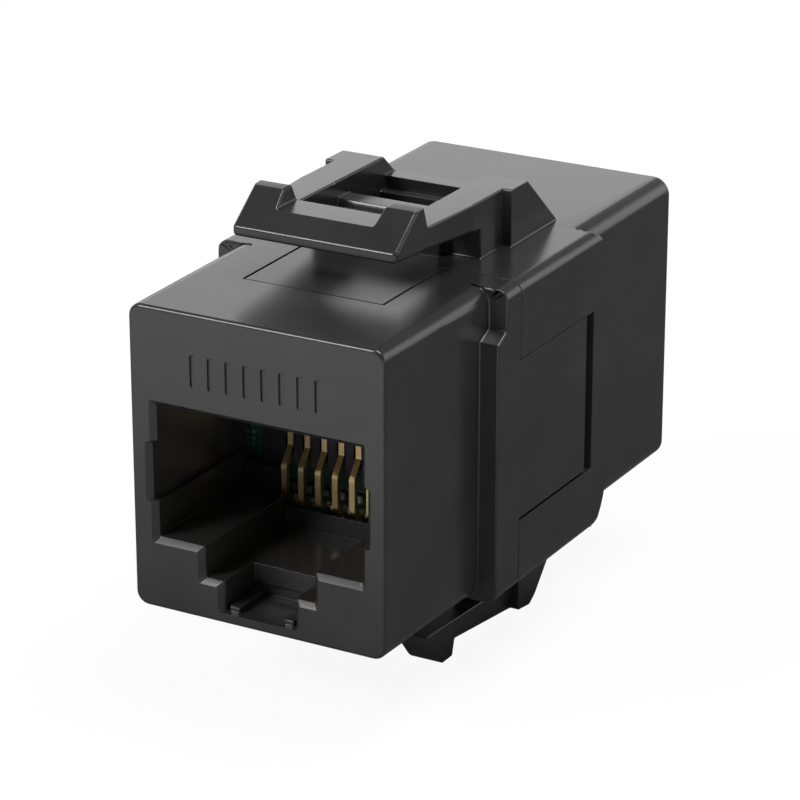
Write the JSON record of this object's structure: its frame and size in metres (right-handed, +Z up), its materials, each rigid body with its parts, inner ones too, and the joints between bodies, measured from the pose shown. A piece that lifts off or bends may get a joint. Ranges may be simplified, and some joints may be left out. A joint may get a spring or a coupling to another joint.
{
  "type": "inline ethernet panel coupler",
  "caption": "Black keystone coupler joining two eight-position network plugs through a panel, with a sprung latch above and a fixed hook below.",
  "frame": {"origin": "middle of the front port's opening, in the plane of the front face", "axes": "+X to the right seen from the front, +Y from the front port to the rear port, +Z up towards the latch"},
  "size_m": [0.017, 0.0306, 0.0252],
  "materials": {
    "shell_plastic": "black satin moulded plastic",
    "latch_plastic": "black satin moulded plastic",
    "carrier_plastic": "black moulded plastic",
    "board": "green solder mask on glass fibre board",
    "contact_gold": "gold plated spring wire",
    "solder": "bright solder"
  },
  "bodies": {
    "housing": {"front_shell": "shell_plastic", "rear_shell": "shell_plastic", "circuit_board": "board", "rear_circuit_board": "board", "link_pins": "solder", "front_contact_carrier": "carrier_plastic", "rear_contact_carrier": "carrier_plastic", "front_solder_joints": "solder", "rear_solder_joints": "solder", "front_contact_1": "contact_gold", "front_contact_2": "contact_gold", "front_contact_3": "contact_gold", "front_contact_4": "contact_gold", "front_contact_5": "contact_gold", "front_contact_6": "contact_gold", "front_contact_7": "contact_gold", "front_contact_8": "contact_gold", "rear_contact_1": "contact_gold", "rear_contact_2": "contact_gold", "rear_contact_3": "contact_gold", "rear_contact_4": "contact_gold", "rear_contact_5": "contact_gold", "rear_contact_6": "contact_gold", "rear_contact_7": "contact_gold", "rear_contact_8": "contact_gold"},
    "latch": {"panel_latch": "latch_plastic"}
  },
  "joints": [
    {"name": "latch_press", "type": "hinge", "parent": "housing", "child": "latch", "pos_m": [0, 0.013, 0.00982], "axis": [1, 0, 0], "range_deg": [0, 12], "stiffness_Nm_per_rad": 0.3}
  ]
}
